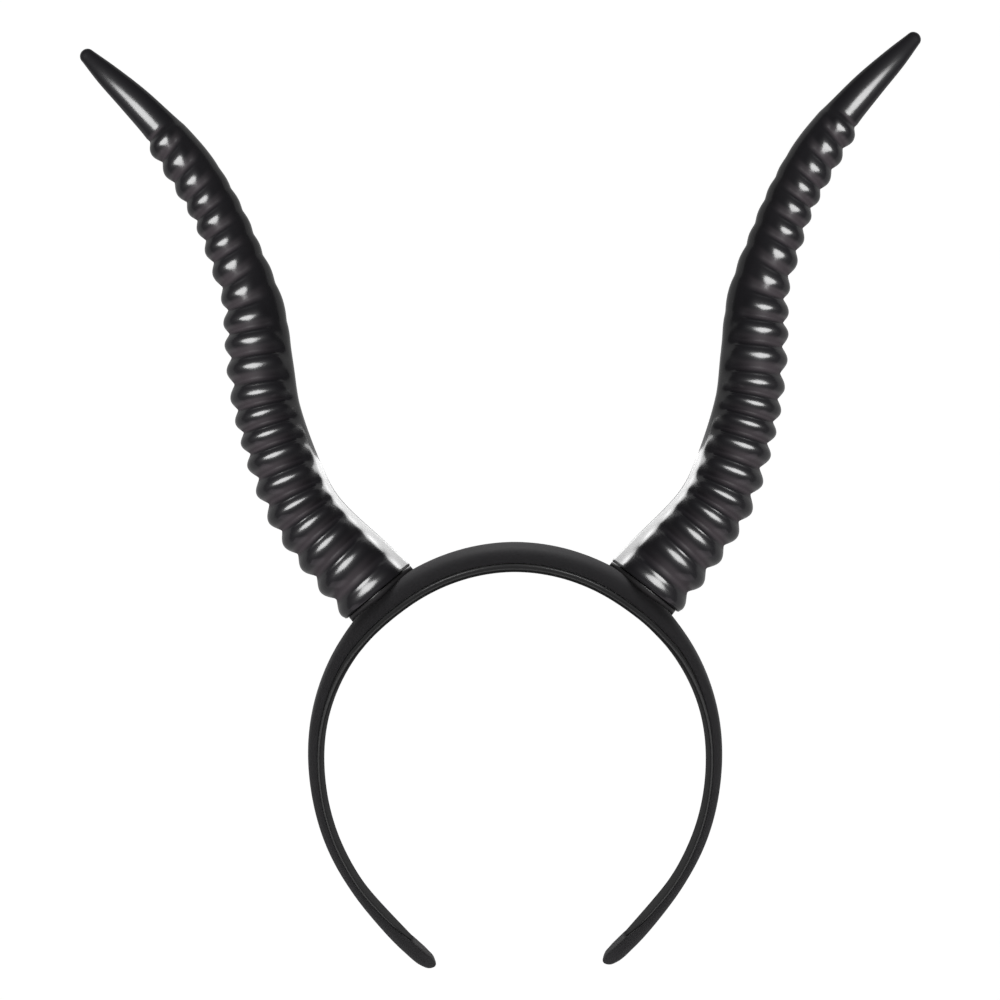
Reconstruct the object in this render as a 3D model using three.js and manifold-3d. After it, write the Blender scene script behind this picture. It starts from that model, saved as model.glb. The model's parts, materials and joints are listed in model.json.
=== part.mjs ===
// Devil horns headband, lying on its back: a springy plastic hoop under a padded cover, with two hollow,
// ring-ridged horns, each closed by a foot plug that seats it on the cover.
// Millimetres. X runs across the band, Y from its open end towards the horns, Z up from the floor.

import * as THREE from 'three';
import { mergeVertices } from 'three/addons/utils/BufferGeometryUtils.js';
import Module from 'manifold-3d';

const wasm = await Module();
wasm.setup();

// Clearance between pieces that touch
const GAP = 0.3;

// Band: the angles are degrees from the crown, round the band's centre
const HOOP_END = 150;
const HOOP_END_ROUND = 1.5;
const HOOP_LIP = 0.7;
const HOOP_CHAMFER = 0.5;
const BAND_STEP = 5;
const POCKET_WALL = 0.3;
const DOME_SIDES = 8;
const DOME_FULLNESS = 0.57;
const POCKET_WIDTH = 0.75;

// Band sections: radius of the seam between hoop and cover, thickness of the hoop, height of the cover's
// dome, and depth from the front edge to the back edge. Past the hoop's end the cover closes as a tongue.
const BAND = [
  { angle: 0, seat: 63.65, hoop: 2.8, dome: 7.1, depth: 23.4 },
  { angle: 28, seat: 63.4, hoop: 2.7, dome: 7.2, depth: 23.4 },
  { angle: 40, seat: 63.4, hoop: 2.5, dome: 6.6, depth: 23 },
  { angle: 52, seat: 64.3, hoop: 2.4, dome: 5.9, depth: 22 },
  { angle: 60, seat: 65.2, hoop: 2.35, dome: 4.9, depth: 21 },
  { angle: 80, seat: 67.0, hoop: 2.2, dome: 3.05, depth: 18 },
  { angle: 100, seat: 68.2, hoop: 2.1, dome: 2.2, depth: 15.5 },
  { angle: 120, seat: 70.1, hoop: 2.1, dome: 1.9, depth: 13.5 },
  { angle: 130, seat: 71.2, hoop: 2.0, dome: 1.9, depth: 12.6 },
  { angle: 140, seat: 72.0, hoop: 1.6, dome: 2.95, depth: 12 },
  { angle: 150, seat: 73.5, hoop: 0.8, dome: 4.5, depth: 11 },
  { angle: 154, seat: 74.6, hoop: 0.6, dome: 4.8, depth: 10.3 },
  { angle: 156, seat: 75.5, hoop: 0.6, dome: 4.2, depth: 8.8 },
  { angle: 157, seat: 76.0, hoop: 0.55, dome: 3.65, depth: 7.4 },
  { angle: 158, seat: 76.9, hoop: 0.5, dome: 2.1, depth: 5.2 },
  { angle: 158.6, seat: 77.5, hoop: 0.3, dome: 0.9, depth: 3.2 },
];

// Horn stations from the foot to the point: place outwards, upwards and to the back of the band's centre, mean
// half width, and height of the ridges from groove to crest. The flank between the horns is flat over a share
// of the half width, and the rings lean so that there they are some share of a ring ahead.
const HORN = [
  { out: 45.0, up: 54.9, back: 0, half: 13.9, ridge: 2.3, flat: 0.4, lean: 0 },
  { out: 51.1, up: 61.3, back: 0.2, half: 13.5, ridge: 2.7, flat: 0.34, lean: 0 },
  { out: 65.9, up: 77.7, back: 1.3, half: 12.1, ridge: 2.3, flat: 0.23, lean: 0 },
  { out: 72.7, up: 89.4, back: 2.2, half: 11.6, ridge: 3.0, flat: 0.2, lean: 0 },
  { out: 81.5, up: 115.4, back: 4.2, half: 11.0, ridge: 2.0, flat: 0, lean: 0 },
  { out: 84.1, up: 132.4, back: 5.7, half: 10.95, ridge: 2.3, flat: 0, lean: 0 },
  { out: 85.7, up: 147.9, back: 7.1, half: 10.45, ridge: 1.9, flat: 0, lean: 0.2 },
  { out: 87.2, up: 156.5, back: 8.0, half: 9.6, ridge: 2.0, flat: 0, lean: 0.4 },
  { out: 91.4, up: 168.0, back: 9.2, half: 9.0, ridge: 1.9, flat: 0, lean: 0.45 },
  { out: 98.6, up: 185.9, back: 11.2, half: 8.3, ridge: 1.7, flat: 0, lean: 0.45 },
  { out: 107.4, up: 201.3, back: 13.2, half: 8.25, ridge: 1.5, flat: 0, lean: 0.35 },
  { out: 115.6, up: 212.9, back: 14.8, half: 7.2, ridge: 2.0, flat: 0, lean: 0.2 },
  { out: 118.2, up: 216.4, back: 15.2, half: 6.3, ridge: 0.7, flat: 0, lean: 0 },
  { out: 127.2, up: 226.1, back: 16.2, half: 5.35, ridge: 0, flat: 0, lean: 0 },
  { out: 137.1, up: 235.8, back: 16.0, half: 4.05, ridge: 0, flat: 0, lean: 0 },
  { out: 143.5, up: 242.2, back: 15.2, half: 2.65, ridge: 0, flat: 0, lean: 0 },
];
const HORN_DEPTH = 0.82;
const HORN_WALL = 1.6;
const HORN_SIDES = 16;

// Ring ridges: the first crest above the foot, then the pitch from each crest to the next
const FIRST_CREST = 2.3;
const PITCHES = [11.4, 9.7, 8.6, 7.7, 9, 9.2, 7.5, 7.1, 6.9, 9.5, 8.7, 7.9, 9.9, 10, 8.2, 8.6, 8, 8, 8.8, 9];
const CREST_FULLNESS = 1.2;
const SECTIONS_PER_RING = 4;
const POINT_SECTIONS = 5;
const POINT_ROUNDING = 3;

// The ridges die away on the flank between the horns, wholly below the bend and partly above it
const FLANK_START = -0.6;
const FLANK_END = -0.97;
const FLANK_BEND_LOW = 90;
const FLANK_BEND_HIGH = 115;
const FLANK_RIDGE = 0.3;

// Hollow of the horn
const HOLLOW_LENGTH = 168;
const HOLLOW_SECTIONS = 9;

// Foot plug
const SPIGOT_HEIGHT = 5;
const SPIGOT_CLEARANCE = 0.6;
const FLANGE = 2.6;
const FLANGE_INSET = 0.3;
const FOOT_DEPTH = 0.62;

const MATERIALS = {
  horn: new THREE.MeshStandardMaterial({ color: 0x17171a, roughness: 0.22, metalness: 0 }),
  foot: new THREE.MeshStandardMaterial({ color: 0x1a1a1c, roughness: 0.3, metalness: 0 }),
  cover: new THREE.MeshStandardMaterial({ color: 0x232324, roughness: 0.85, metalness: 0 }),
  hoop: new THREE.MeshStandardMaterial({ color: 0x2a2a2b, roughness: 0.5, metalness: 0 }),
};

// Smooth value of one column of a table at a place along its key column
function valueAt(table, key, column, place) {
  let row = 0;
  while (row < table.length - 2 && place > table[row + 1][key]) row += 1;
  const slope = (index) => {
    const before = table[Math.max(index - 1, 0)];
    const after = table[Math.min(index + 1, table.length - 1)];
    return (after[column] - before[column]) / (after[key] - before[key]);
  };
  const span = table[row + 1][key] - table[row][key];
  const t = (place - table[row][key]) / span;
  const rise = t * t * (3 - 2 * t);
  const leave = t * (1 - t) * (1 - t) * span * slope(row);
  const arrive = t * t * (t - 1) * span * slope(row + 1);
  return THREE.MathUtils.lerp(table[row][column], table[row + 1][column], rise) + leave + arrive;
}

// Closed solid through a chain of sections with equal numbers of points, capped at both ends
function loft(sections) {
  const sides = sections[0].length;
  const points = sections.flat();
  const centreOf = (section) => section
    .reduce((sum, point) => sum.add(point), new THREE.Vector3())
    .divideScalar(sides);
  const first = points.push(centreOf(sections[0])) - 1;
  const last = points.push(centreOf(sections[sections.length - 1])) - 1;
  const triangles = [];
  for (let side = 0; side < sides; side += 1) {
    const next = (side + 1) % sides;
    for (let ring = 0; ring < sections.length - 1; ring += 1) {
      const low = ring * sides;
      const high = low + sides;
      triangles.push([low + side, low + next, high + next], [low + side, high + next, high + side]);
    }
    const top = (sections.length - 1) * sides;
    triangles.push([first, next, side], [last, top + side, top + next]);
  }
  return outward(points, triangles);
}

// Geometry whose triangles all face outwards, also for a mirrored chain of sections
function outward(points, triangles) {
  const volume = triangles.reduce((sum, [a, b, c]) => (
    sum + points[a].dot(new THREE.Vector3().crossVectors(points[b], points[c]))
  ), 0);
  const facing = volume > 0 ? triangles : triangles.map(([a, b, c]) => [a, c, b]);
  const geometry = new THREE.BufferGeometry().setFromPoints(points);
  geometry.setIndex(facing.flat());
  return geometry;
}

function toSolid(geometry) {
  const merged = mergeVertices(geometry);
  return new wasm.Manifold(new wasm.Mesh({
    numProp: 3,
    vertProperties: new Float32Array(merged.attributes.position.array),
    triVerts: new Uint32Array(merged.index.array),
  }));
}

// First geometry with the second one cut away
function cut(geometry, tool) {
  const mesh = toSolid(geometry).subtract(toSolid(tool)).getMesh();
  const result = new THREE.BufferGeometry();
  result.setAttribute('position', new THREE.BufferAttribute(new Float32Array(mesh.vertProperties), 3));
  result.setIndex(Array.from(mesh.triVerts));
  return result;
}

// Point of a band section, at a radius and depth, at an angle from the crown
function bandPoint(angle, radius, depth) {
  const turn = THREE.MathUtils.degToRad(angle);
  return new THREE.Vector3(radius * Math.sin(turn), radius * Math.cos(turn), depth);
}

function bandRow(angle) {
  const place = Math.abs(angle);
  const row = {};
  for (const column of ['seat', 'hoop', 'dome', 'depth']) row[column] = valueAt(BAND, 'angle', column, place);
  return row;
}

// Angles from one end to the other, with a level facet at the crown and the given angles at both ends
function bandAngles(ends) {
  const half = [];
  for (let angle = BAND_STEP / 2; angle < HOOP_END - HOOP_END_ROUND; angle += BAND_STEP) half.push(angle);
  half.push(...ends);
  return [...half.map((angle) => -angle).reverse(), ...half];
}

// The hoop is a flat strip with chamfered edges and rounded-off ends
function hoopGeometry() {
  const shoulder = HOOP_END - HOOP_END_ROUND;
  const sections = bandAngles([shoulder, HOOP_END]).map((angle) => {
    const row = bandRow(angle);
    const narrowing = Math.abs(angle) > shoulder ? HOOP_LIP + HOOP_CHAMFER : 0;
    const edge = row.depth / 2 - narrowing;
    const flat = edge - HOOP_CHAMFER;
    const outer = row.seat - GAP / 2;
    const inner = row.seat - row.hoop;
    const chamfer = Math.min(HOOP_CHAMFER, (outer - inner) / 3);
    const outline = [
      [outer, flat], [outer - chamfer, edge], [inner + chamfer, edge], [inner, flat],
      [inner, -flat], [inner + chamfer, -edge], [outer - chamfer, -edge], [outer, -flat],
    ];
    return outline.map(([radius, depth]) => bandPoint(angle, radius, depth));
  });
  return loft(sections);
}

// The cover is a dome on the hoop's outer side. Past the hoop's end it fills the hoop's thickness too.
function coverGeometry(grow) {
  const pocket = HOOP_END + POCKET_WALL;
  const tongue = BAND.map((row) => row.angle).filter((angle) => angle > HOOP_END);
  const between = (HOOP_END + tongue[0]) / 2;
  const angles = bandAngles([pocket, pocket + POCKET_WALL, between, ...tongue]);
  const sections = angles.map((angle) => {
    const row = bandRow(angle);
    const edge = row.depth / 2 - HOOP_LIP + grow;
    const foot = row.seat + GAP / 2 - grow;
    const height = row.dome + 2 * grow;
    const fill = Math.abs(angle) > pocket ? row.hoop + GAP / 2 : 0;
    const outline = [];
    for (let side = 0; side <= DOME_SIDES; side += 1) {
      const turn = Math.PI * side / DOME_SIDES;
      const lift = Math.abs(Math.sin(turn)) ** DOME_FULLNESS;
      const front = Math.sign(Math.cos(turn)) * Math.abs(Math.cos(turn)) ** DOME_FULLNESS;
      outline.push(bandPoint(angle, foot + height * lift, edge * front));
    }
    for (const place of [-POCKET_WIDTH, 0, POCKET_WIDTH]) {
      outline.push(bandPoint(angle, foot - fill, place * edge));
    }
    return outline;
  });
  return loft(sections);
}

// Horn stations with their distance along the horn
function withDistance(rows) {
  let along = 0;
  return rows.map((row, index) => {
    const before = rows[Math.max(index - 1, 0)];
    along += Math.hypot(row.out - before.out, row.up - before.up);
    return { ...row, along };
  });
}

const SPINE = withDistance(HORN);
const HORN_LENGTH = SPINE[SPINE.length - 1].along;
const CRESTS = PITCHES.reduce((places, pitch) => [...places, places[places.length - 1] + pitch], [FIRST_CREST]);
const LAST_PITCH = PITCHES[PITCHES.length - 1];
const POINT_START = CRESTS[CRESTS.length - 1] + LAST_PITCH / 2;

// Centre of the horn, which bends away to the back as it rises
function spinePoint(along) {
  return new THREE.Vector3(
    valueAt(SPINE, 'along', 'out', along),
    valueAt(SPINE, 'along', 'up', along),
    -valueAt(SPINE, 'along', 'back', along),
  );
}

// Centre and axes of a horn section: along the horn, outwards across it, and to the front
function hornFrame(along) {
  const reach = 0.5;
  const centre = spinePoint(along);
  const ahead = spinePoint(along + reach).sub(spinePoint(along - reach)).normalize();
  const outwards = new THREE.Vector3(ahead.y, -ahead.x, 0).normalize();
  const front = new THREE.Vector3().crossVectors(outwards, ahead);
  return { centre, ahead, outwards, front };
}

// Distance along the horn of a ring phase, whole at each crest
function alongAt(phase) {
  const ring = Math.min(Math.floor(phase), PITCHES.length);
  const pitch = ring < PITCHES.length ? PITCHES[ring] : LAST_PITCH;
  return CRESTS[ring] + (phase - ring) * pitch;
}

// How much of the ridge is left on a side of the horn, from outwards (1) to the flank (-1)
function ridgeShare(facing, along) {
  const onFlank = THREE.MathUtils.smoothstep(-facing, -FLANK_START, -FLANK_END);
  const left = FLANK_RIDGE * THREE.MathUtils.smoothstep(along, FLANK_BEND_LOW, FLANK_BEND_HIGH);
  return THREE.MathUtils.lerp(1, left, onFlank);
}

// How far the flat flank cuts into a section, as a factor on the distance of one of its points
function flankTrim(flat, across, front) {
  const lean = Math.sqrt(1 - flat / 2);
  const reach = front * Math.sqrt(flat / 2) - across * lean;
  return reach > lean ? lean / reach : 1;
}

// Ring of points round the horn. The swell is added to the half width on each side.
function hornRing(side, frame, half, { depth = HORN_DEPTH, flat = 0, swell = () => 0 } = {}) {
  const ring = [];
  for (let corner = 0; corner < HORN_SIDES; corner += 1) {
    const turn = 2 * Math.PI * corner / HORN_SIDES;
    const trimmed = half * flankTrim(flat, Math.cos(turn), Math.abs(Math.sin(turn)) * depth);
    const extra = swell(Math.cos(turn));
    const point = frame.centre.clone()
      .addScaledVector(frame.outwards, (trimmed + extra) * Math.cos(turn))
      .addScaledVector(frame.front, (trimmed * depth + extra) * Math.sin(turn));
    point.x *= side;
    ring.push(point);
  }
  return ring;
}

// Section of the horn's outer face at a ring phase
function ridgedRing(side, along, phase) {
  const half = valueAt(SPINE, 'along', 'half', along);
  const ridge = valueAt(SPINE, 'along', 'ridge', along);
  const lean = valueAt(SPINE, 'along', 'lean', along);
  const flat = Math.max(valueAt(SPINE, 'along', 'flat', along), 0);
  const swell = (facing) => {
    const ring = phase + lean * (1 - facing) / 2;
    const height = Math.abs(Math.cos(Math.PI * ring)) ** CREST_FULLNESS - 0.5;
    return ridge * height * ridgeShare(facing, along);
  };
  return hornRing(side, hornFrame(along), half, { flat, swell });
}

// Half width of the hollow, one wall inside the grooves
function hollowHalf(along) {
  const ridge = valueAt(SPINE, 'along', 'ridge', along);
  return valueAt(SPINE, 'along', 'half', along) - ridge / 2 - HORN_WALL;
}

// Horn as one chain of sections: down the hollow from its blind end, over the foot's rim, up to the point
function hornGeometry(side) {
  const sections = [];
  for (let step = HOLLOW_SECTIONS; step >= 0; step -= 1) {
    const along = HOLLOW_LENGTH * step / HOLLOW_SECTIONS;
    sections.push(hornRing(side, hornFrame(along), hollowHalf(along)));
  }
  sections.push(ridgedRing(side, 0, -FIRST_CREST / PITCHES[0]));
  const lastPhase = PITCHES.length + 0.5;
  for (let phase = 0; phase <= lastPhase; phase += 1 / SECTIONS_PER_RING) {
    sections.push(ridgedRing(side, alongAt(phase), phase));
  }
  for (let step = 1; step <= POINT_SECTIONS; step += 1) {
    const along = THREE.MathUtils.lerp(POINT_START, HORN_LENGTH, step / POINT_SECTIONS);
    sections.push(hornRing(side, hornFrame(along), valueAt(SPINE, 'along', 'half', along)));
  }
  const end = hornFrame(HORN_LENGTH);
  const blunt = SPINE[SPINE.length - 1].half;
  for (let step = 1; step <= POINT_ROUNDING; step += 1) {
    const turn = Math.PI / 2 * step / (POINT_ROUNDING + 0.5);
    const frame = { ...end, centre: end.centre.clone().addScaledVector(end.ahead, blunt * Math.sin(turn)) };
    sections.push(hornRing(side, frame, blunt * Math.cos(turn)));
  }
  return loft(sections);
}

// Plug that closes the horn: a spigot inside it and a flange under it, hollowed out to sit on the cover
function footGeometry(side) {
  const base = hornFrame(0);
  const spigot = hollowHalf(SPIGOT_HEIGHT) - SPIGOT_CLEARANCE;
  const flange = SPINE[0].half - FLANGE_INSET;
  const levels = [
    { height: SPIGOT_HEIGHT, half: spigot },
    { height: -GAP, half: spigot },
    { height: -GAP, half: flange },
    { height: -GAP - FLANGE, half: flange },
  ];
  const sections = levels.map(({ height, half }) => {
    const centre = base.centre.clone().addScaledVector(base.ahead, height);
    return hornRing(side, { ...base, centre }, half, { depth: FOOT_DEPTH });
  });
  return cut(loft(sections), coverGeometry(GAP));
}

function pointsOf(meshes) {
  return meshes.flatMap((mesh) => {
    const places = mesh.geometry.attributes.position;
    return Array.from({ length: places.count }, (_, index) => (
      new THREE.Vector3().fromBufferAttribute(places, index)
    ));
  });
}

// Angle at which the band's ends and the horns' backs touch the floor together
function restAngle(bandPoints, hornPoints) {
  const passes = 4;
  let tilt = 0;
  for (let pass = 0; pass < passes; pass += 1) {
    const heightOf = (point) => point.y * Math.sin(tilt) + point.z * Math.cos(tilt);
    const heel = bandPoints.reduce((low, point) => (heightOf(point) < heightOf(low) ? point : low));
    const angles = hornPoints.map((point) => Math.atan2(heel.z - point.z, point.y - heel.y));
    tilt = angles.reduce((most, angle) => Math.max(most, angle));
  }
  return tilt;
}

function piece(name, geometry, material) {
  const mesh = new THREE.Mesh(geometry, material);
  mesh.name = name;
  return mesh;
}

const hoop = piece('band_hoop', hoopGeometry(), MATERIALS.hoop);
const cover = piece('band_cover', coverGeometry(0), MATERIALS.cover);
const horns = [];
const feet = [];
for (const [word, side] of [['left', -1], ['right', 1]]) {
  horns.push(piece(`horn_${word}`, hornGeometry(side), MATERIALS.horn));
  feet.push(piece(`horn_foot_${word}`, footGeometry(side), MATERIALS.foot));
}

// Laid on its back with its lowest points on the floor and its box centred over the origin
const lying = new THREE.Group();
lying.add(hoop, cover, ...horns, ...feet);
lying.rotation.x = restAngle(pointsOf([hoop, cover]), pointsOf(horns));
lying.updateMatrixWorld(true);
const box = new THREE.Box3().setFromObject(lying, true);
lying.position.y = -(box.min.y + box.max.y) / 2;
lying.position.z = -box.min.z;

const headband = new THREE.Group();
headband.add(lying);

export default headband;
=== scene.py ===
"""Looks of the devil horns headband, lying on its back on a pale floor.

Sizes are millimetres in the band's own frame: x across the band, y from its open end towards the horns,
z to the front, with the origin at the band's centre. The part's frame is metres, with the floor at z 0.
"""

import json
import math

import bpy
from mathutils import Matrix, Vector


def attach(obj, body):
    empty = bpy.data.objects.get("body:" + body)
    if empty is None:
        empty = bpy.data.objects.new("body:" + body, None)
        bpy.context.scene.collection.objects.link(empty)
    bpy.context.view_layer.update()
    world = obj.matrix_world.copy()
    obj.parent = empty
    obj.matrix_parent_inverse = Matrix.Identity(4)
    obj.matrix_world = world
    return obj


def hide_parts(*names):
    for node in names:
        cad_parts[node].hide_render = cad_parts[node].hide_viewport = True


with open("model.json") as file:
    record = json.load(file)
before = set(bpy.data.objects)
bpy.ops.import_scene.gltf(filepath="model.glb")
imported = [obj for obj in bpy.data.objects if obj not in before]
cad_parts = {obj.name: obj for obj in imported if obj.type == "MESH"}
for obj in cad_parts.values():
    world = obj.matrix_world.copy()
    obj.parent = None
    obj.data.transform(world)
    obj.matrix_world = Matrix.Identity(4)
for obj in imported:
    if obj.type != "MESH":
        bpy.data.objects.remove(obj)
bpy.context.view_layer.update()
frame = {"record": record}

MM = 0.001
SIDES = (("left", -1), ("right", 1))
MERGE_DISTANCE = 0.002

# Band stations, by degrees from the crown. "seat" is the radius of the seam between hoop and cover, with the
# hoop inside it and the cover's dome outside it. The hoop's edges stand out past the cover by the lip.
BAND_COLUMNS = ("angle", "seat", "hoop", "dome", "depth", "lip")
BAND = [
    (0, 63.65, 2.8, 7.1, 23.4, 0.7),
    (28, 63.4, 2.7, 7.2, 23.4, 0.7),
    (40, 63.4, 2.5, 7.45, 23, 0.7),
    (52, 64.3, 2.4, 5.9, 22, 0.6),
    (60, 65.2, 2.35, 4.9, 21, 0.5),
    (80, 66.1, 1.3, 3.95, 18, 0.2),
    (100, 67.0, 0.9, 3.4, 15.5, 0.15),
    (120, 68.9, 0.9, 3.1, 13.5, 0.15),
    (130, 70.1, 0.9, 3.0, 12.6, 0.15),
    (140, 71.3, 0.9, 3.65, 12, 0.3),
    (150, 73.1, 0.4, 4.9, 11, 0.7),
    (154, 74.4, 0.4, 5.0, 10.3, 0.7),
    (156, 75.3, 0.4, 4.4, 8.8, 0.7),
    (157, 75.8, 0.4, 3.85, 7.4, 0.7),
    (157.7, 76.5, 0.4, 2.8, 6.2, 0.7),
    (158.2, 77.2, 0.4, 1.65, 4.6, 0.7),
    (158.5, 77.6, 0.25, 0.8, 3.2, 0.7),
    (158.6, 77.8, 0.1, 0.2, 2.0, 0.7),
]

# Degrees from one station to the next, and half the angle of the solid hoop's facet at the crown
BAND_STEP = 1.0
CROWN_FACET = 2.5

# Hoop: its ends narrow over some degrees, and its edges are rounded by no more than a share of its thickness
HOOP_END = 150
HOOP_END_ROUND = 8
HOOP_END_TAPER = 1.6
HOOP_EDGE_ROUND = 1.2
HOOP_ROUND_SHARE = 0.45
HOOP_SIDES = 32
INNER_FACE_LOW = 0.6
INNER_FACE_HIGH = 0.95

# Cover: its seam is a slight overlap with the hoop, and its steps get finer towards the tip of the tongue
SEAM = -0.01
POCKET_WALL = 0.05
HEM = 0.4
HEM_TUCK = 0.5
DOME_FULLNESS = 0.57
TONGUE_FINEST = 0.04
TONGUE_SHARE = 12
COVER_SIDES = 96

# Horn stations from the foot to the point. "depth" is a share of the width, and "flat" says how much of the
# flank between the horns is cut off. There the rings lie nearer to the point by the lean, a share of a ring.
HORN_COLUMNS = ("out", "up", "back", "half", "depth", "ridge", "flat", "lean")
HORN = [
    (45.0, 54.9, 0, 13.9, 0.82, 2.3, 0.4, 0),
    (51.1, 61.3, 0.2, 13.5, 0.82, 2.7, 0.34, 0),
    (65.9, 77.7, 1.3, 12.1, 0.82, 2.3, 0.23, 0),
    (72.7, 89.4, 2.2, 11.6, 0.82, 3.0, 0.2, 0),
    (81.5, 115.4, 4.2, 11.0, 0.82, 2.0, 0, 0),
    (84.1, 132.4, 5.7, 10.95, 0.82, 2.3, 0, 0),
    (85.7, 147.9, 7.1, 10.45, 0.82, 1.9, 0, 0.3),
    (87.2, 156.5, 8.0, 9.6, 0.82, 2.0, 0, 0.5),
    (91.4, 168.0, 9.2, 9.0, 0.82, 1.9, 0, 0.55),
    (98.6, 185.9, 11.2, 8.3, 0.82, 1.7, 0, 0.55),
    (107.4, 201.3, 13.2, 8.25, 0.82, 1.5, 0, 0.6),
    (115.6, 212.9, 14.8, 7.2, 0.82, 2.0, 0, 0.6),
    (118.2, 216.4, 15.0, 6.3, 0.74, 0.7, 0, 0.6),
    (127.2, 226.1, 14.4, 5.35, 0.66, 0, 0, 0.6),
    (136.9, 235.6, 15.0, 4.05, 0.64, 0, 0, 0.6),
    (143.8, 242.5, 16.7, 2.65, 0.6, 0, 0, 0.6),
]
FOOT_TURN = 4.5
FOOT_TURN_END = 10
SPINE_STEP = 0.5
HORN_WALL = 1.6
RIM_ROUND = 0.4
RIM_SHARES = (0.0, 0.3, 1.0)
RIM_TO_RINGS = 1.5
POINT_SECTIONS = 24
POINT_ROUNDING = 8

# Ring ridges: the first crest above the foot, the pitch below it, and that from each crest to the next
FIRST_CREST = 2.3
FOOT_PITCH = 9
PITCHES = [11.4, 9.7, 8.6, 7.7, 9, 9.2, 7.5, 7.1, 6.9, 9.5, 8.7, 7.9, 9.9, 10, 8.2, 8.6, 8, 8, 8.8, 9]
SECTIONS_PER_RING = 28

# Inputs of the horn's section. Ridges and valleys are placed by shares of a ring. What changes round the
# section goes by the cosine there, which is 1 on the outer side, 0 in front and -1 between the horns.
HORN_SHAPE = {
    "Sides": 72,
    "Crest Fullness": 1.2,
    "Groove Round": 0.1,
    "Lean Fade": 3.0,
    "Front Ridge": 0.6,
    "Front Place": 0.1,
    "Front Low": 0.1,
    "Front High": 0.6,
    "Fine Ridge": 0.13,
    "Fine Ridge Place": 0.3,
    "Fine Ridge Width": 0.08,
    "Fine Ridge Low": 0.4,
    "Fine Ridge High": 0.75,
    # The valley keys place a painted reflection: a lighter band on the lower flank of each ring, next to its
    # groove, fading towards the inner side.
    "Valley Place": -0.44,
    "Valley Low": 0.08,
    "Valley High": 0.26,
    "Valley Inner": -0.8,
    "Valley Outer": 0.4,
    "Flank Start": 0.52,
    "Flank End": 0.94,
    "Flank Spread": 0.5,
    "Flank Bend Low": 90 * MM,
    "Flank Bend High": 115 * MM,
    "Flank Ridge": 0.3,
    "Flank Fade Low": 148 * MM,
    "Flank Fade High": 166 * MM,
    "Flank Blend": 0.02,
    "Least Reach": 0.2,
}

# Hollow of the horn, and the plug in its foot
HOLLOW_LENGTH = 168
HOLLOW_SECTIONS = 28
GAP = 0.3
SPIGOT_HEIGHT = 5
SPIGOT_CLEARANCE = 0.6
FLANGE = 2.6
FLANGE_INSET = 0.3
FLANGE_CLEARANCE = 0.04
FOOT_DEPTH = 0.72
FOOT_ROUND = 0.3
FOOT_ROUND_STEPS = 4
FOOT_SIDES = 96
FOOT_RINGS = 12

# Finishes: pairs of colours that a pattern blends, scales of noise to a metre, and the width of a thread
# The horns' lighter colour is a painted reflection laid on the lower flank of each ring; the darker one is
# the plastic.
HORN_TONE_AND_PAINTED_REFLECTION = ((0.0075, 0.007, 0.0085, 1), (0.042, 0.036, 0.04, 1))
# The plugs' pair is lighter than the horns' plastic: painted light against the shade under the horns.
FOOT_COLOURS_PAINTED_LIGHTER = ((0.015, 0.0145, 0.0155, 1), (0.026, 0.025, 0.026, 1))
HOOP_COLOURS = ((0.016, 0.016, 0.0165, 1), (0.024, 0.0235, 0.024, 1))
CLOTH_COLOURS = ((0.0112, 0.0107, 0.012, 1), (0.0228, 0.0215, 0.0238, 1))
HORN_CLOUD = 90.0
HORN_GRAIN = 2600.0
HORN_PEEL = 420.0
HOOP_CLOUD = 140.0
HOOP_GRAIN = 2200.0
CLOTH_CLOUD = 160.0
CLOTH_FUZZ = 1500.0
THREAD = 0.5

# Floor and room, in metres and in what they light. The room is darker behind the horns than below the band.
WHITE = (1, 1, 1, 1)
FLOOR_HALF = 12.0
FLOOR_PAPER = (0.3, 0.3, 0.3, 1)
FLOOR_GLOW = 0.36
ROOM_NEAR = 0.1
ROOM_FAR = 0.05
ROOM_LOW = -0.6
ROOM_HIGH = 0.1

# Lamps, in metres in the part's frame. Those with an x are the right one of a pair.
KEY = {
    "place": (0.52, 0.02, 1.15),
    "target": (0.085, 0.03, 0.01),
    "size": (0.7, 0.75),
    "radiance": 13.0,
    "shape": "ELLIPSE",
}
LOW_LIGHT = {
    "place": (0.15, -1.0, 0.3),
    "target": (0.085, 0.03, 0.01),
    "size": (1.2, 0.6),
    "radiance": 0.6,
    "colour": (1.0, 0.9, 0.98),
}
ARM_LIGHT = {
    "place": (0.6, -0.5, 0.35),
    "target": (0.06, -0.1, 0.01),
    "size": (0.5, 0.4),
    "radiance": 6.0,
}
HOOP_LIGHT = {
    "place": (0.34, 0.72, 0.38),
    "target": (0.03, -0.05, 0.01),
    "size": (0.3, 0.25),
    "radiance": 25.0,
}
CROWN_LIGHT = {
    "place": (0, 0.9, 0.12),
    "target": (0, -0.05, 0.01),
    "size": (0.35, 0.22),
    "radiance": 44.0,
}
COVER_FRONT_LIGHT = {
    "place": (0, -0.45, 0.8),
    "target": (0, -0.13, 0.01),
    "size": (0.8, 0.5),
    "radiance": 0.4,
}
HOOP_FRONT_LIGHT = {
    "place": (0, -0.48, 1.1),
    "target": (0, -0.13, 0.01),
    "size": (0.8, 0.36),
    "radiance": 7.0,
}

# Panel on the floor beside each horn's flank: its place in the band's frame, its turn, and metres again
FLANK_PANEL_PLACE = (31.4, 98.5)
FLANK_PANEL_TURN = 48
FLANK_PANEL_HEIGHT = 0.0008
FLANK_PANEL_SIZE = (0.046, 0.04)
FLANK_PANEL_RADIANCE = 4.5

# Camera, by the photograph: its axis meets the band's mid plane here, and the object is rolled a little
CAMERA_MEETS = (-3.36, 85.08)
CAMERA_DISTANCE = 700
CAMERA_VIEW = 340
CAMERA_ROLL = 1.17
SENSOR = 36


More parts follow.
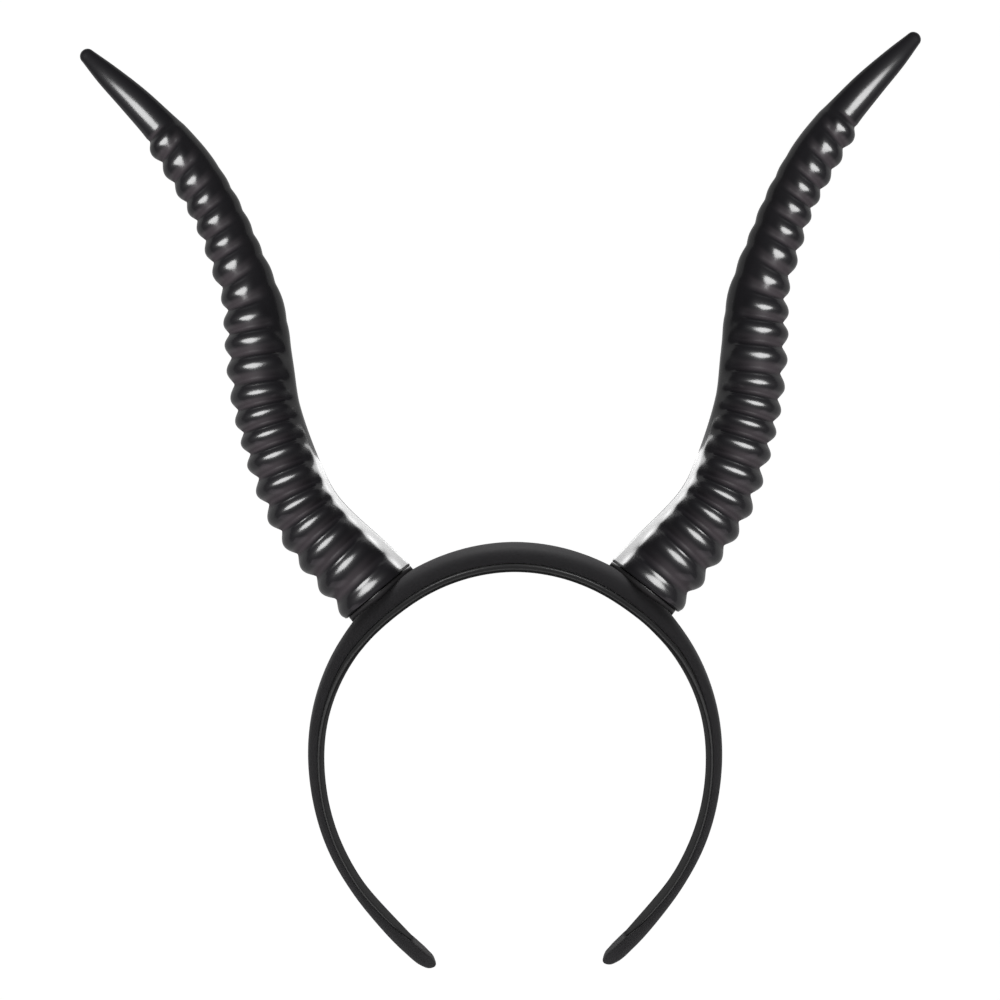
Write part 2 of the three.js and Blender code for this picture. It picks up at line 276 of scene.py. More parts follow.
class Track:
    """Columns of a table, read smoothly at any place along its key column."""

    def __init__(self, key, columns):
        self.key = key
        self.columns = columns

    def slope(self, values, row):
        before = max(row - 1, 0)
        after = min(row + 1, len(values) - 1)
        return (values[after] - values[before]) / (self.key[after] - self.key[before])

    def at(self, place, column):
        values = self.columns[column]
        row = 0
        while row < len(values) - 2 and place > self.key[row + 1]:
            row += 1
        span = self.key[row + 1] - self.key[row]
        share = (place - self.key[row]) / span
        rise = share * share * (3 - 2 * share)
        leave = share * (1 - share) ** 2 * span * self.slope(values, row)
        arrive = share * share * (share - 1) * span * self.slope(values, row + 1)
        return values[row] + (values[row + 1] - values[row]) * rise + leave + arrive


def columns_of(names, rows):
    return {name: [row[place] for row in rows] for place, name in enumerate(names)}


def distances(rows):
    """Distance along the horn of each station."""
    along = [0.0]
    for before, after in zip(rows, rows[1:]):
        along.append(along[-1] + math.hypot(after[0] - before[0], after[1] - before[1]))
    return along


band_columns = columns_of(BAND_COLUMNS, BAND)
band = Track(band_columns["angle"], band_columns)
horn = Track(distances(HORN), columns_of(HORN_COLUMNS, HORN))
HORN_LENGTH = horn.key[-1]
CRESTS = [FIRST_CREST + sum(PITCHES[:ring]) for ring in range(len(PITCHES) + 1)]
LAST_PHASE = len(PITCHES) + 0.5
POINT_START = CRESTS[-1] + PITCHES[-1] / 2


def lying_matrix():
    """From millimetres in the band's frame to metres in the part's frame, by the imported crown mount."""
    mount = next(item for item in frame["record"]["mounts"] if item["name"] == "crown_seat")
    axis = Vector(mount["axis"])
    turned = Matrix.Rotation(math.atan2(-axis.z, -axis.y), 4, "X")
    inside = band.at(CROWN_FACET, "seat") - band.at(CROWN_FACET, "hoop")
    facet = inside * math.cos(math.radians(CROWN_FACET))
    moved = Vector(mount["pos_m"]) - turned @ Vector((0, facet * MM, 0))
    return Matrix.Translation(moved) @ turned @ Matrix.Scale(MM, 4)


LAID = lying_matrix()
TURNED = LAID.to_3x3().normalized()


class Wire:
    """An output in a node tree. Arithmetic on it adds Math nodes, and node() adds any other node."""

    def __init__(self, tree, socket=None):
        self.tree = tree
        self.socket = socket

    def node(self, kind, settings=None, sockets=None, output=None):
        made = self.tree.nodes.new(kind)
        for name, value in (settings or {}).items():
            setattr(made, name, value)
        for name, value in (sockets or {}).items():
            self.plug(find_socket(made.inputs, name), value)
        return Wire(self.tree, find_socket(made.outputs, output))

    def other(self, output):
        """Another output of the same node."""
        return Wire(self.tree, find_socket(self.socket.node.outputs, output))

    def plug(self, socket, value):
        if isinstance(value, Wire):
            self.tree.links.new(value.socket, socket)
        else:
            socket.default_value = value

    def math(self, operation, *values):
        return self.node("ShaderNodeMath", {"operation": operation}, dict(enumerate(values)))

    def of(self, operation, *values):
        """Function of this value, such as its sine."""
        return self.math(operation, self, *values)

    def vector(self, operation, sockets):
        return self.node("ShaderNodeVectorMath", {"operation": operation}, sockets)

    def smooth(self, low, high, start=0.0, end=1.0):
        """Smooth step of this value from low to high."""
        span = {"Value": self, "From Min": low, "From Max": high, "To Min": start, "To Max": end}
        return self.node("ShaderNodeMapRange", {"interpolation_type": "SMOOTHSTEP"}, span)

    def __add__(self, other):
        return self.math("ADD", self, other)

    def __radd__(self, other):
        return self.math("ADD", other, self)

    def __sub__(self, other):
        return self.math("SUBTRACT", self, other)

    def __rsub__(self, other):
        return self.math("SUBTRACT", other, self)

    def __mul__(self, other):
        return self.math("MULTIPLY", self, other)

    def __rmul__(self, other):
        return self.math("MULTIPLY", other, self)

    def __truediv__(self, other):
        return self.math("DIVIDE", self, other)

    def __rtruediv__(self, other):
        return self.math("DIVIDE", other, self)

    def __pow__(self, other):
        return self.math("POWER", self, other)


def find_socket(sockets, name):
    """Socket by its name or place, among those that the node's settings leave open."""
    shown = [socket for socket in sockets if socket.enabled]
    if isinstance(name, str):
        return next(socket for socket in shown if socket.name == name)
    if not shown:
        return None
    return shown[name or 0]


# Trees that sweep a section along stations

def start_tree(name, inputs):
    """Geometry tree with named inputs after its stations, and the wire of those stations."""
    tree = bpy.data.node_groups.new(name, "GeometryNodeTree")
    tree.interface.new_socket("Stations", in_out="INPUT", socket_type="NodeSocketGeometry")
    for label, kind in inputs.items():
        tree.interface.new_socket(label, in_out="INPUT", socket_type="NodeSocket" + kind)
    tree.interface.new_socket("Material", in_out="INPUT", socket_type="NodeSocketMaterial")
    tree.interface.new_socket("Shape", in_out="OUTPUT", socket_type="NodeSocketGeometry")
    return Wire(tree).node("NodeGroupInput", output="Stations")


class Sweep:
    """A grid with one row of points for each station, and the angle of each point round its section."""

    def __init__(self, stations):
        self.stations = stations
        count = stations.node(
            "GeometryNodeAttributeDomainSize", {"component": "MESH"}, {"Geometry": stations}, "Point Count"
        )
        self.grid = stations.node(
            "GeometryNodeMeshGrid",
            None,
            {"Size X": 1.0, "Size Y": 1.0, "Vertices X": count, "Vertices Y": stations.other("Sides") + 1},
        )
        place = stations.node("GeometryNodeInputPosition")
        split = stations.node("ShaderNodeSeparateXYZ", None, {"Vector": place}, "X")
        self.row = ((split + 0.5) * (count - 1)).of("ROUND")
        self.round = split.other("Y") + 0.5
        turn = self.round * (2 * math.pi)
        self.cos = turn.of("COSINE")
        self.sin = turn.of("SINE")

    def read(self, name, kind="FLOAT"):
        """Value that the station of each point holds."""
        wire = self.stations
        if name == "place":
            field = wire.node("GeometryNodeInputPosition")
        else:
            field = wire.node("GeometryNodeInputNamedAttribute", {"data_type": kind}, {"Name": name})
        return wire.node(
            "GeometryNodeSampleIndex",
            {"data_type": kind, "domain": "POINT"},
            {"Geometry": wire, "Value": field, "Index": self.row},
        )

    def store(self, name, value, kind="FLOAT", domain="POINT"):
        """Keeps a value on the surface for its material."""
        self.grid = self.grid.node(
            "GeometryNodeStoreNamedAttribute",
            {"data_type": kind, "domain": domain},
            {"Geometry": self.grid, "Name": name, "Value": value},
        )

    def at(self, across, front):
        """Places that lie across and to the front of the station's own centre."""
        sideways = across.vector("SCALE", {0: self.read("outwards", "FLOAT_VECTOR"), "Scale": across})
        forwards = front.vector("SCALE", {0: self.read("front", "FLOAT_VECTOR"), "Scale": front})
        away = across.vector("ADD", {0: sideways, 1: forwards})
        return across.vector("ADD", {0: self.read("place", "FLOAT_VECTOR"), 1: away})

    def close(self, places):
        """Sets the places, closes the seam and the ends, and finishes the tree."""
        wire = self.grid
        shaped = wire.node("GeometryNodeSetPosition", None, {"Geometry": wire, "Position": places})
        near = {"Geometry": shaped, "Distance": MERGE_DISTANCE * MM}
        merged = wire.node("GeometryNodeMergeByDistance", None, near)
        smooth = wire.node("GeometryNodeSetShadeSmooth", None, {"Geometry": merged, "Shade Smooth": True})
        real = wire.node("GeometryNodeRealizeInstances", None, {"Geometry": smooth})
        paint = {"Geometry": real, "Material": self.stations.other("Material")}
        painted = wire.node("GeometryNodeSetMaterial", None, paint)
        wire.node("NodeGroupOutput", None, {"Shape": painted})
        return wire.tree


def ring_distance(phase, place):
    """Distance from a place within each ring, in rings."""
    shifted = phase - place
    return (shifted - shifted.of("ROUND")).of("ABSOLUTE")


def horn_tree():
    """Horn section: an ellipse that swells into ring ridges, which die away between the horns."""
    inputs = {label: "Int" if isinstance(value, int) else "Float" for label, value in HORN_SHAPE.items()}
    inputs["Turning"] = "Float"
    stations = start_tree("ridged horn", inputs)
    given = stations.other
    sweep = Sweep(stations)
    along = sweep.read("along")
    phase = sweep.read("phase") - sweep.read("lean") * ((1 - sweep.cos) * 0.5) ** given("Lean Fade")

    wave = (phase * math.pi).of("COSINE")
    groove = given("Groove Round") * given("Groove Round")
    level = ((wave * wave + groove) / (groove + 1)) ** (given("Crest Fullness") * 0.5)
    bend = along.smooth(given("Flank Bend Low"), given("Flank Bend High"))
    inwards = bend * given("Flank Spread") - sweep.cos
    on_flank = inwards.smooth(given("Flank Start"), given("Flank End"))
    kept = along.smooth(given("Flank Fade Low"), given("Flank Fade High"), 1.0, 0.0)
    flank_share = 1 - on_flank * (1 - bend * kept * given("Flank Ridge"))
    off_front = (sweep.cos - given("Front Place")).of("ABSOLUTE")
    front_share = off_front.smooth(given("Front Low"), given("Front High"), given("Front Ridge"), 1.0)
    fine_distance = ring_distance(phase, given("Fine Ridge Place"))
    fine_height = fine_distance.smooth(0.0, given("Fine Ridge Width"), given("Fine Ridge"), 0.0)
    fine_share = sweep.cos.of("ABSOLUTE").smooth(given("Fine Ridge Low"), given("Fine Ridge High"), 1.0, 0.0)
    rise = level + fine_height * fine_share - 0.5
    swell = sweep.read("ridge") * rise * flank_share * front_share

    # Two planes cut the flank, one to the front and one to the back, with the same slope across it
    half = sweep.read("half")
    deep = half * sweep.read("depth")
    flat = sweep.read("flat").of("MAXIMUM", 0.0) * 0.5
    inward_part = (1 - flat).of("SQRT")
    front_part = flat.of("SQRT")
    limit = half * inward_part
    reach = (deep * sweep.sin).of("ABSOLUTE") * front_part - half * sweep.cos * inward_part
    cut = limit / reach.of("MAXIMUM", limit * given("Least Reach"))
    trim = cut.of("SMOOTH_MIN", 1.0, given("Flank Blend"))

    sweep.store("polish", 1 - (1 - level) * flank_share)
    # Painted reflection: a lighter band on the lower flank of each ring, strongest towards the outer side,
    # kept for the material's colour.
    valley_distance = ring_distance(phase, given("Valley Place"))
    valley = valley_distance.smooth(given("Valley Low"), given("Valley High"), 1.0, 0.0)
    sweep.store("valley", valley * sweep.cos.smooth(given("Valley Inner"), given("Valley Outer")))
    across = (half * trim + swell) * sweep.cos
    front = (deep * trim + swell) * sweep.sin * given("Turning")
    return sweep.close(sweep.at(across, front))


def hoop_tree():
    """Hoop section: a flat strip with rounded edges. No point lies where the sine or cosine changes sign."""
    stations = start_tree("band hoop", {"Sides": "Int", "Edge Round": "Float"})
    sweep = Sweep(stations)
    turn = (sweep.round + 0.5 / stations.other("Sides")) * (2 * math.pi)
    cos = turn.of("COSINE")
    sin = turn.of("SINE")
    outer = (cos.of("SIGN") + 1) * 0.5
    rounding = stations.other("Edge Round") * sweep.read("size") * (1 - outer * (1 - sweep.read("groove")))
    thick = sweep.read("thick") * 0.5
    deep = sweep.read("deep") * 0.5
    lift = cos.of("SIGN") * (thick - rounding) + cos * rounding
    back = sin.of("SIGN") * (deep - rounding) + sin * rounding
    sweep.store("inner", (0 - cos).smooth(INNER_FACE_LOW, INNER_FACE_HIGH))
    return sweep.close(sweep.at(lift, 0 - back))


def cover_tree():
    """Cover section: a padded dome whose hem tucks in under it. Past the hoop it closes as a tongue."""
    stations = start_tree("band cover", {"Sides": "Int", "Hem Tuck": "Float", "Dome Fullness": "Float"})
    sweep = Sweep(stations)
    fullness = stations.other("Dome Fullness")
    hem = sweep.read("hem")
    above = sweep.sin.of("MAXIMUM", 0.0) ** fullness * (sweep.read("dome") - hem)
    below = (0 - sweep.sin).of("MAXIMUM", 0.0) ** stations.other("Hem Tuck")
    lift = hem + above - below * (hem + sweep.read("fill"))
    front = sweep.cos.of("SIGN") * sweep.cos.of("ABSOLUTE") ** fullness * sweep.read("deep") * 0.5
    wrap = sweep.round * sweep.read("girth")
    lay = stations.node("ShaderNodeCombineXYZ", None, {"X": sweep.read("length"), "Y": wrap})
    sweep.store("cloth_lay", lay, "FLOAT2", "CORNER")
    return sweep.close(sweep.at(lift, front))


def foot_tree():
    """Foot section: an ellipse. The rings under the flange lie down on the cover where it is in reach."""
    inputs = {
        "Sides": "Int",
        "Turning": "Float",
        "Depth Ratio": "Float",
        "Cover": "Object",
        "Reach": "Float",
    }
    stations = start_tree("horn foot", inputs)
    sweep = Sweep(stations)
    half = sweep.read("half")
    front = half * stations.other("Depth Ratio") * sweep.sin * stations.other("Turning")
    places = sweep.at(half * sweep.cos, front)
    ahead = sweep.read("ahead", "FLOAT_VECTOR")
    lift = stations.other("Reach") * sweep.read("under")
    start = stations.vector("MULTIPLY_ADD", {0: ahead, 1: lift, 2: places})
    cover = stations.node(
        "GeometryNodeObjectInfo",
        {"transform_space": "ORIGINAL"},
        {"Object": stations.other("Cover")},
        "Geometry",
    )
    down = stations.vector("SCALE", {0: ahead, "Scale": -1.0})
    hit = stations.node(
        "GeometryNodeRaycast",
        None,
        {"Target Geometry": cover, "Source Position": start, "Ray Direction": down, "Ray Length": lift},
        "Is Hit",
    )
    pick = {"Switch": hit, "False": places, "True": hit.other("Hit Position")}
    return sweep.close(stations.node("GeometryNodeSwitch", {"input_type": "VECTOR"}, pick))


def station_mesh(name, stations):
    """Points with the values that a tree reads at them, in the part's metres."""
    mesh = bpy.data.meshes.new(name)
    mesh.from_pydata([station["place"] for station in stations], [], [])
    for label in stations[0]:
        if label == "place":
            continue
        vector = isinstance(stations[0][label], Vector)
        kind, field = ("FLOAT_VECTOR", "vector") if vector else ("FLOAT", "value")
        column = mesh.attributes.new(label, kind, "POINT")
        for item, station in zip(column.data, stations):
            setattr(item, field, station[label])
    return mesh


def make_piece(name, stations, tree, settings):
    """Piece that a tree makes from its stations, as a plain mesh."""
    piece = bpy.data.objects.new(name, station_mesh(name, stations))
    bpy.context.scene.collection.objects.link(piece)
    shaper = piece.modifiers.new("shape", "NODES")
    shaper.node_group = tree
    for item in tree.interface.items_tree:
        if item.in_out == "INPUT" and item.name in settings:
            shaper[item.identifier] = settings[item.name]
    graph = bpy.context.evaluated_depsgraph_get()
    mesh = bpy.data.meshes.new_from_object(
        piece.evaluated_get(graph), preserve_all_data_layers=True, depsgraph=graph
    )
    piece.modifiers.remove(shaper)
    piece.data = mesh
    return piece


def seat(piece, node):
    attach(piece, "root")
    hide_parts(node)


# Stations of the band

def band_station(angle, lift, values):
    """Station on the band, lifted from the seam, with its other sizes in millimetres."""
    turn = math.radians(angle)
    outwards = Vector((math.sin(turn), math.cos(turn), 0))
    station = {
        "place": LAID @ (outwards * (band.at(abs(angle), "seat") + lift)),
        "outwards": TURNED @ outwards,
        "front": TURNED @ Vector((0, 0, 1)),
    }
    station.update({label: value * MM for label, value in values.items()})
    return station


def band_angles(ends):
    """Angles of the stations from the left end to the right end, with the given ones at each end."""
    steps = int(HOOP_END / BAND_STEP)
    half = [step * BAND_STEP for step in range(1, steps)] + ends
    return [-angle for angle in reversed(half)] + [0] + half


def groove_share(size):
    """How open the groove along the seam is, as a share of that at the crown."""
    return band.at(size, "lip") / band.at(0, "lip")


def capped(stations, shrunk):
    """Stations with a closing point at each end."""
    ends = []
    for station in (stations[0], stations[-1]):
        end = dict(station)
        end.update({label: 0.0 for label in shrunk})
        ends.append(end)
    return [ends[0], *stations, ends[1]]


def hoop_stations():
    stations = []
    for angle in band_angles([HOOP_END]):
        size = abs(angle)
        past = max(size - HOOP_END + HOOP_END_ROUND, 0) / HOOP_END_ROUND
        narrowing = 2 * (band.at(size, "lip") + HOOP_END_TAPER) * past * past
        thick = band.at(size, "hoop") - SEAM
        deep = band.at(size, "depth") - narrowing
        station = band_station(angle, -SEAM - thick / 2, {"thick": thick, "deep": deep})
        station["size"] = min(1.0, HOOP_ROUND_SHARE * thick / HOOP_EDGE_ROUND)
        station["groove"] = groove_share(size)
        stations.append(station)
    return capped(stations, ("thick", "deep", "size"))


def cover_stations():
    """Past the hoop's end the cover fills the hoop's thickness too, and closes as a round tongue."""
    pocket = HOOP_END + POCKET_WALL
    tongue = band_columns["angle"][-1]
    ends = [HOOP_END, pocket, pocket + POCKET_WALL]
    while ends[-1] < tongue - TONGUE_FINEST:
        ends.append(ends[-1] + max(TONGUE_FINEST, (tongue - ends[-1]) / TONGUE_SHARE))
    stations = []
    for angle in band_angles(ends):
        size = abs(angle)
        dome = band.at(size, "dome")
        deep = band.at(size, "depth") - 2 * band.at(size, "lip")
        values = {
            "dome": dome,
            "deep": deep,
            "fill": band.at(size, "hoop") if size > pocket else 0.0,
            "hem": min(HEM * groove_share(size), dome / 2),
            "girth": 2 * deep + 2 * dome,
            "length": math.radians(angle) * band.at(size, "seat"),
        }
        stations.append(band_station(angle, SEAM, values))
    return capped(stations, ("dome", "deep", "fill", "hem"))


# Stations of the horns and their feet

def spine_point(along):
    return Vector((horn.at(along, "out"), horn.at(along, "up"), -horn.at(along, "back")))


def horn_station(side, along, half, phase=0.0, ridged=False, ahead_by=0.0):
    """Station on a horn: its centre and axes, and its sizes in metres."""
    ahead = (spine_point(along + SPINE_STEP) - spine_point(along - SPINE_STEP)).normalized()
    ahead.rotate(Matrix.Rotation(math.radians(FOOT_TURN) * max(0.0, 1 - along / FOOT_TURN_END), 3, "Z"))
    outwards = Vector((ahead.y, -ahead.x, 0)).normalized()
    front = outwards.cross(ahead)
    centre = spine_point(along) + ahead * ahead_by
    for axis in (centre, ahead, outwards, front):
        axis.x *= side
    return {
        "place": LAID @ centre,
        "outwards": TURNED @ outwards,
        "front": TURNED @ front,
        "ahead": TURNED @ ahead,
        "half": half * MM,
        "depth": horn.at(along, "depth"),
        "ridge": horn.at(along, "ridge") * MM if ridged else 0.0,
        "flat": horn.at(along, "flat") if ridged else 0.0,
        "lean": horn.at(along, "lean") if ridged else 0.0,
        "phase": phase,
        "along": along * MM,
    }


def along_at(phase):
    """Distance along the horn of a phase, which counts rings from the first crest."""
    if phase < 0:
        return FIRST_CREST + phase * FOOT_PITCH
    ring = min(math.floor(phase), len(PITCHES))
    pitch = PITCHES[min(ring, len(PITCHES) - 1)]
    return CRESTS[ring] + (phase - ring) * pitch


def hollow_half(along):
    return horn.at(along, "half") - horn.at(along, "ridge") / 2 - HORN_WALL


def horn_stations(side):
    """One chain: down the hollow from its blind end, over the foot's rim, up the rings, and to the point."""
    stations = [horn_station(side, HOLLOW_LENGTH, 0.0)]
    for step in range(HOLLOW_SECTIONS, -1, -1):
        along = HOLLOW_LENGTH * step / HOLLOW_SECTIONS
        stations.append(horn_station(side, along, hollow_half(along)))
    first = -FIRST_CREST / PITCHES[0]
    for share in RIM_SHARES:
        along = RIM_ROUND * (1 - math.sqrt(1 - share * share))
        half = horn.at(0, "half") - RIM_ROUND * (1 - share)
        stations.append(horn_station(side, along, half, first + along / PITCHES[0], True))
    start = first + RIM_ROUND * RIM_TO_RINGS / PITCHES[0]
    steps = math.ceil((LAST_PHASE - first) * SECTIONS_PER_RING)
    for step in range(steps + 1):
        phase = start + (LAST_PHASE - start) * step / steps
        along = along_at(phase)
        stations.append(horn_station(side, along, horn.at(along, "half"), phase, True))
    for step in range(1, POINT_SECTIONS + 1):
        along = POINT_START + (HORN_LENGTH - POINT_START) * step / POINT_SECTIONS
        stations.append(horn_station(side, along, horn.at(along, "half")))
    blunt = horn.columns["half"][-1]
    for step in range(1, POINT_ROUNDING + 1):
        turn = math.pi / 2 * step / POINT_ROUNDING
        half = blunt * math.cos(turn)
        stations.append(horn_station(side, HORN_LENGTH, half, ahead_by=blunt * math.sin(turn)))
    return stations


def foot_stations(side):
    """One chain: over the spigot, out along the flange, round its edge and back under it."""
    spigot = hollow_half(SPIGOT_HEIGHT) - SPIGOT_CLEARANCE
    flange = horn.columns["half"][0] - FLANGE_INSET
    low = -GAP - FLANGE
    chain = [
        (SPIGOT_HEIGHT, 0.0),
        (SPIGOT_HEIGHT, spigot - FOOT_ROUND),
        (SPIGOT_HEIGHT - FOOT_ROUND, spigot),
        (-FLANGE_CLEARANCE, spigot),
    ]
    turns = [math.pi / 2 * step / FOOT_ROUND_STEPS for step in range(FOOT_ROUND_STEPS + 1)]
    for turn in turns:
        height = -FLANGE_CLEARANCE - FOOT_ROUND * (1 - math.cos(turn))
        chain.append((height, flange - FOOT_ROUND * (1 - math.sin(turn))))
    under = len(chain)
    for turn in turns:
        chain.append((low + FOOT_ROUND * (1 - math.sin(turn)), flange - FOOT_ROUND * (1 - math.cos(turn))))
    for step in range(1, FOOT_RINGS + 1):
        chain.append((low, (flange - FOOT_ROUND) * (1 - step / FOOT_RINGS)))
    stations = []
    for place, (height, half) in enumerate(chain):
        station = horn_station(side, 0.0, half, ahead_by=height)
        station["under"] = 1.0 if place >= under else 0.0
        stations.append(station)
    return stations


# Materials

def new_material(name, constants):
    """Material with a shader whose plain sockets are set, the wire to build on, and the shader's sockets."""
    material = bpy.data.materials.new(name)
    material.use_nodes = True
    sockets = material.node_tree.nodes["Principled BSDF"].inputs
    for label, value in constants.items():
        sockets[label].default_value = value
    return material, Wire(material.node_tree), sockets


def stored(wire, name):
    """Value that the piece's tree kept on the surface."""
    return wire.node("ShaderNodeAttribute", {"attribute_name": name}, None, "Fac")


def noise(wire, scale, detail=2.0):
    where = wire.node("ShaderNodeTexCoord", output="Object")
    return wire.node("ShaderNodeTexNoise", None, {"Vector": where, "Scale": scale, "Detail": detail}, "Fac")


def swing(pattern, amount):
    """Pattern that swings evenly round zero."""
    return (pattern - 0.5) * amount


def blend(wire, factor, colours):
    """Colour between two colours."""
    dark, light = colours
    return wire.node("ShaderNodeMix", {"data_type": "RGBA"}, {"Factor": factor, "A": dark, "B": light})


def bumped(wire, height, strength, distance):
    relief = {"Height": height, "Strength": strength, "Distance": distance * MM}
    return wire.node("ShaderNodeBump", None, relief)


def horn_gloss():
    """Moulded plastic: a gloss coat that thins out in the grooves, and a lighter brown grey painted into the
    lower flank of each ring as a painted reflection of the light from below.
    """
    material, wire, sockets = new_material("horn_gloss", {"Coat Roughness": 0.2, "Specular IOR Level": 0.15})
    cloud = noise(wire, HORN_CLOUD, 3.0)
    grain = noise(wire, HORN_GRAIN)
    peel = noise(wire, HORN_PEEL, 3.0)
    # The valley mask lightens the colour there: a painted reflection.
    tone = stored(wire, "valley") * (0.6 + cloud * 0.7) + swing(cloud, 0.1)
    wire.plug(sockets["Base Color"], blend(wire, tone, HORN_TONE_AND_PAINTED_REFLECTION))
    wire.plug(sockets["Roughness"], 0.5 + swing(grain, 0.1) + swing(cloud, 0.1))
    wire.plug(sockets["Coat Weight"], stored(wire, "polish").smooth(0.1, 0.6))
    wire.plug(sockets["Normal"], bumped(wire, peel + grain * 0.2, 0.08, 0.2))
    return material


def foot_gloss():
    """Moulded plastic of the plugs, duller than the horns, and lighter in colour as painted light against
    the shade under the horns.
    """
    plain = {"Coat Weight": 0.3, "Coat Roughness": 0.2, "Specular IOR Level": 0.15}
    material, wire, sockets = new_material("foot_gloss", plain)
    cloud = noise(wire, HORN_CLOUD, 3.0)
    grain = noise(wire, HORN_GRAIN)
    wire.plug(sockets["Base Color"], blend(wire, cloud, FOOT_COLOURS_PAINTED_LIGHTER))
    wire.plug(sockets["Roughness"], 0.5 + swing(grain, 0.1) + swing(cloud, 0.1))
    wire.plug(sockets["Normal"], bumped(wire, grain, 0.08, 0.2))
    return material


def hoop_satin():
    """Satin plastic, with a matte inner face."""
    material, wire, sockets = new_material("hoop_satin", {"Specular IOR Level": 0.1})
    cloud = noise(wire, HOOP_CLOUD, 3.0)
    grain = noise(wire, HOOP_GRAIN)
    wire.plug(sockets["Base Color"], blend(wire, cloud, HOOP_COLOURS))
    rough = 0.26 + stored(wire, "inner") * 0.4 + swing(grain, 0.1) + swing(cloud, 0.08)
    wire.plug(sockets["Roughness"], rough)
    wire.plug(sockets["Normal"], bumped(wire, grain, 0.12, 0.1))
    return material


def cover_cloth():
    """Matte black plain-weave cloth, stretched over the padding."""
    plain = {"Sheen Weight": 0.12, "Sheen Roughness": 0.5, "Specular IOR Level": 0.25}
    material, wire, sockets = new_material("cover_cloth", plain)
    lay = wire.node("ShaderNodeUVMap", {"uv_map": "cloth_lay"})
    split = wire.node("ShaderNodeSeparateXYZ", None, {"Vector": lay}, "X")
    threads = math.pi / (THREAD * MM)
    warp_wave = (split * threads).of("SINE")
    weft_wave = (split.other("Y") * threads).of("SINE")
    over = (warp_wave * weft_wave).smooth(-0.3, 0.3)
    thread = weft_wave.of("ABSOLUTE") * over + warp_wave.of("ABSOLUTE") * (1 - over)
    fuzz = noise(wire, CLOTH_FUZZ, 4.0)
    cloud = noise(wire, CLOTH_CLOUD, 3.0)
    tone = fuzz * 0.5 + thread * 0.3 + cloud * 0.2
    wire.plug(sockets["Base Color"], blend(wire, tone, CLOTH_COLOURS))
    wire.plug(sockets["Roughness"], 0.6 + fuzz * 0.2)
    wire.plug(sockets["Normal"], bumped(wire, thread + fuzz * 0.3, 0.2, 0.12))
    return material


# Pieces

hoop = make_piece(
    "headband_hoop",
    hoop_stations(),
    hoop_tree(),
    {"Sides": HOOP_SIDES, "Edge Round": HOOP_EDGE_ROUND * MM, "Material": hoop_satin()},
)
cover = make_piece(
    "headband_cover",
    cover_stations(),
    cover_tree(),
    {"Sides": COVER_SIDES, "Hem Tuck": HEM_TUCK, "Dome Fullness": DOME_FULLNESS, "Material": cover_cloth()},
)
seat(hoop, "band_hoop")
seat(cover, "band_cover")

ridges = horn_tree()
plug = foot_tree()
horn_finish = horn_gloss()
foot_finish = foot_gloss()
horns = {}
feet = {}
for word, side in SIDES:
    ridge_shape = {**HORN_SHAPE, "Turning": float(side), "Material": horn_finish}
    horns[word] = make_piece(f"ridged_horn_{word}", horn_stations(side), ridges, ridge_shape)
    plug_shape = {
        "Turning": float(-side),
        "Depth Ratio": FOOT_DEPTH,
        "Sides": FOOT_SIDES,
        "Cover": cover,
        "Reach": FLANGE * MM,
        "Material": foot_finish,
    }
    feet[word] = make_piece(f"foot_plug_{word}", foot_stations(side), plug, plug_shape)
    seat(horns[word], f"horn_{word}")
    seat(feet[word], f"horn_foot_{word}")


# Floor, lights and camera

def pale_floor():
    """Wide pale floor. What reflects in the plastic is dimmer than what the camera sees."""
    corners = [(-1, -1), (1, -1), (1, 1), (-1, 1)]
    mesh = bpy.data.meshes.new("floor")
    mesh.from_pydata([(x * FLOOR_HALF, y * FLOOR_HALF, 0) for x, y in corners], [], [(0, 1, 2, 3)])
    floor = bpy.data.objects.new("floor", mesh)
    bpy.context.scene.collection.objects.link(floor)
    material = bpy.data.materials.new("pale_floor")
    material.use_nodes = True
    material.node_tree.nodes.clear()
    wire = Wire(material.node_tree)
    seen = wire.node("ShaderNodeLightPath", output="Is Camera Ray")
    paper = wire.node("ShaderNodeBsdfDiffuse", None, {"Color": FLOOR_PAPER})
    strength = FLOOR_GLOW + seen * (1 - FLOOR_GLOW)
    glow = wire.node("ShaderNodeEmission", None, {"Color": WHITE, "Strength": strength})
    both = wire.node("ShaderNodeAddShader", None, {0: paper, 1: glow})
    wire.node("ShaderNodeOutputMaterial", None, {"Surface": both})
    mesh.materials.append(material)


def room_light():
    """Room that the camera sees white."""
    world = bpy.data.worlds.new("studio")
    world.use_nodes = True
    world.node_tree.nodes.clear()
    wire = Wire(world.node_tree)
    seen = wire.node("ShaderNodeLightPath", output="Is Camera Ray")
    towards = wire.node("ShaderNodeTexCoord", output="Generated")
    depth = wire.node("ShaderNodeSeparateXYZ", None, {"Vector": towards}, "Y")
    strength = depth.smooth(ROOM_LOW, ROOM_HIGH, ROOM_NEAR, ROOM_FAR)
    air = {"Color": WHITE, "Strength": strength + seen * (1 - strength)}
    wire.node("ShaderNodeOutputWorld", None, {"Surface": wire.node("ShaderNodeBackground", None, air)})
    bpy.context.scene.world = world


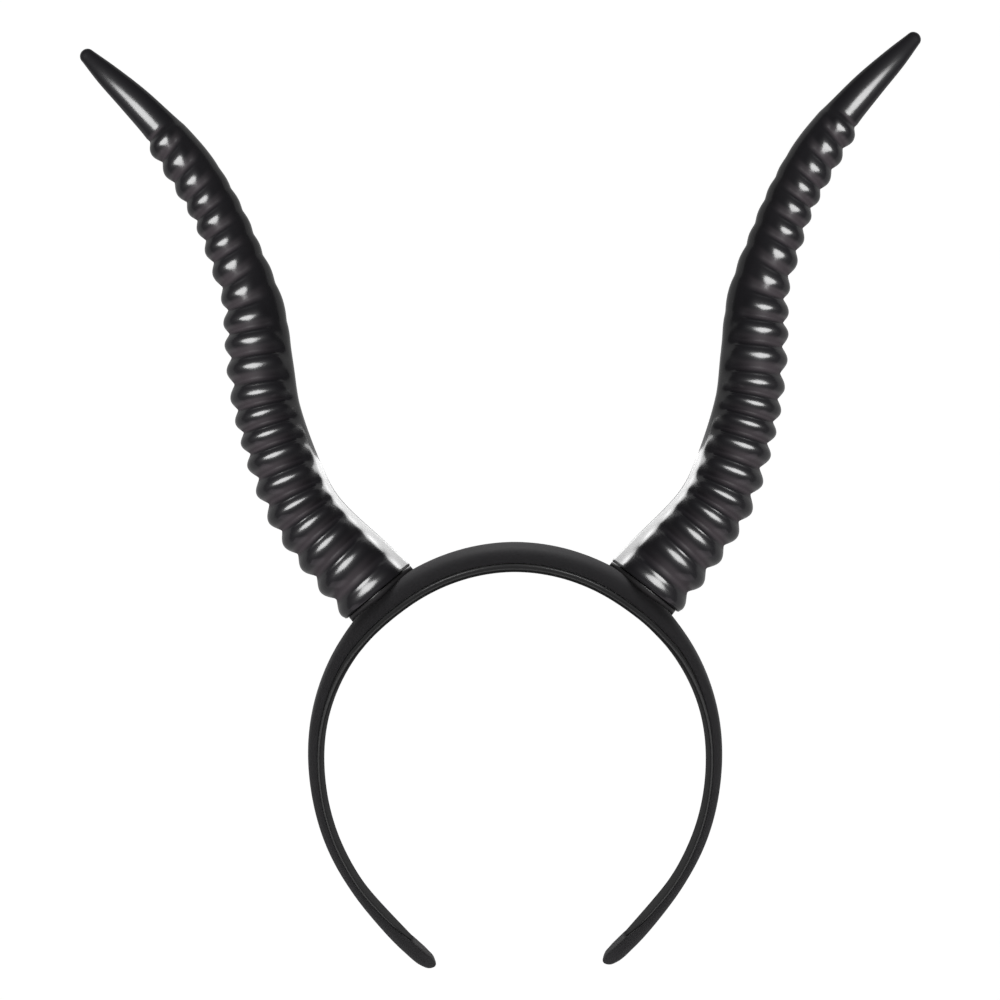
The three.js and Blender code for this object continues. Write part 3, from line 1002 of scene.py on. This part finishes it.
def softbox(
    name, lights, side, place, target, size, radiance, shape="RECTANGLE", colour=WHITE[:3], turn=0.0
):
    """Soft light panel, mirrored to its side, and flagged off so that it lights only the given pieces."""
    width, height = size
    lamp = bpy.data.lights.new(name, "AREA")
    lamp.shape = shape
    lamp.size = width
    lamp.size_y = height
    lamp.energy = radiance * math.pi * width * height
    lamp.color = colour
    panel = bpy.data.objects.new(name, lamp)
    mirror = Matrix.Diagonal((side, 1, 1))
    panel.location = mirror @ Vector(place)
    aim = (mirror @ Vector(target) - panel.location).to_track_quat("-Z", "Y").to_matrix()
    panel.rotation_euler = (aim @ Matrix.Rotation(math.radians(side * turn), 3, "Z")).to_euler()
    panel.visible_camera = False
    bpy.context.scene.collection.objects.link(panel)
    group = bpy.data.collections.new(name)
    for piece in lights:
        group.objects.link(piece)
    panel.light_linking.receiver_collection = group


def flank_panel(name, lights, side):
    """Panel that lies on the floor and shines up at the flank."""
    place = LAID @ Vector((*FLANK_PANEL_PLACE, 0))
    place.z = FLANK_PANEL_HEIGHT
    above = place + Vector((0, 0, 1))
    softbox(name, lights, side, place, above, FLANK_PANEL_SIZE, FLANK_PANEL_RADIANCE, turn=-FLANK_PANEL_TURN)


def photo_camera():
    data = bpy.data.cameras.new("camera")
    data.sensor_width = SENSOR
    data.lens = SENSOR * CAMERA_DISTANCE / CAMERA_VIEW
    camera = bpy.data.objects.new("camera", data)
    bpy.context.scene.collection.objects.link(camera)
    roll = Matrix.Rotation(math.radians(-CAMERA_ROLL), 4, "Z")
    place = LAID @ Vector((*CAMERA_MEETS, CAMERA_DISTANCE))
    camera.matrix_world = Matrix.Translation(place) @ TURNED.to_4x4() @ roll
    bpy.context.scene.camera = camera


pale_floor()
room_light()
for word, side in SIDES:
    own = (horns[word], feet[word])
    softbox(f"key {word}", own, side, **KEY)
    flank_panel(f"flank {word}", own, side)
    softbox(f"low light {word}", own, side, **LOW_LIGHT)
    softbox(f"arm light {word}", (cover,), side, **ARM_LIGHT)
    softbox(f"hoop light {word}", (hoop,), side, **HOOP_LIGHT)
softbox("crown light", (cover,), 1, **CROWN_LIGHT)
softbox("cover front light", (cover,), 1, **COVER_FRONT_LIGHT)
softbox("hoop front light", (hoop,), 1, **HOOP_FRONT_LIGHT)
photo_camera()

view = bpy.context.scene.view_settings
view.view_transform = "Standard"
view.look = "None"
